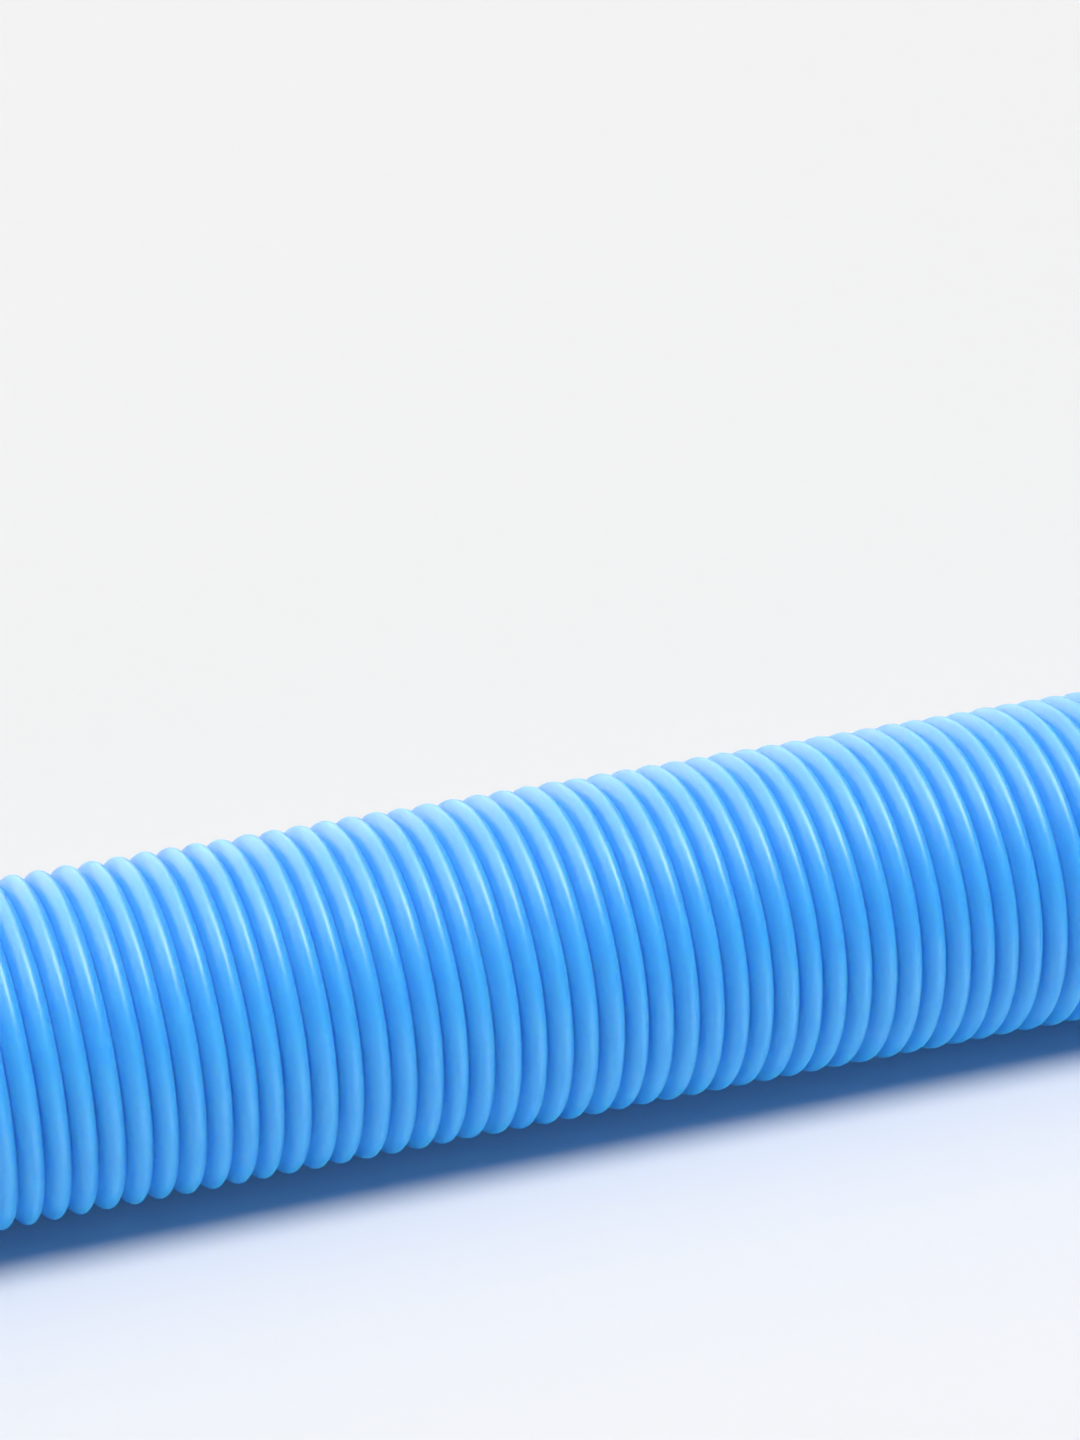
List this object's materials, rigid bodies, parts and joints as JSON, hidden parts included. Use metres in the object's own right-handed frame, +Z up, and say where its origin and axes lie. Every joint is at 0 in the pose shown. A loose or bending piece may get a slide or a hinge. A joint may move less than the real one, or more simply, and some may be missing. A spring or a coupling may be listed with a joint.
{
  "type": "vacuum hose",
  "caption": "Ribbed pool vacuum hose with a swivel cuff on one end and a fixed cuff on the other, straight at the swivel end, the rest wound into a strapped two-layer coil.",
  "frame": {"origin": "middle of the hose's box on the floor that it lies on", "axes": "+Z up; the straight stretch lies along X, with the swivel cuff's mouth at its -X end; the coil lies to the +X and -Y side of it"},
  "size_m": [0.9055, 0.5748, 0.0985],
  "materials": {
    "hose_blue": "satin",
    "cuff_black": "satin",
    "collar_grey": "satin",
    "seal_rubber": "matte",
    "strap_webbing": "matte",
    "buckle_steel": "satin"
  },
  "bodies": {
    "hose": {"hose_stretch": "hose_blue", "hose_coil": "hose_blue", "swivel_collar": "collar_grey", "fixed_cuff": "cuff_black", "strap_1": "strap_webbing", "strap_2": "strap_webbing", "strap_3": "strap_webbing", "buckle_1": "buckle_steel", "buckle_2": "buckle_steel", "buckle_3": "buckle_steel"},
    "swivel": {"swivel_cuff": "cuff_black", "retaining_bush": "collar_grey", "seal_ring": "seal_rubber"}
  },
  "joints": [
    {"name": "swivel_spin", "type": "hinge", "parent": "hose", "child": "swivel", "pos_m": [-0.38, 0.26, 0.0275], "axis": [1, 0, 0], "continuous": true}
  ]
}
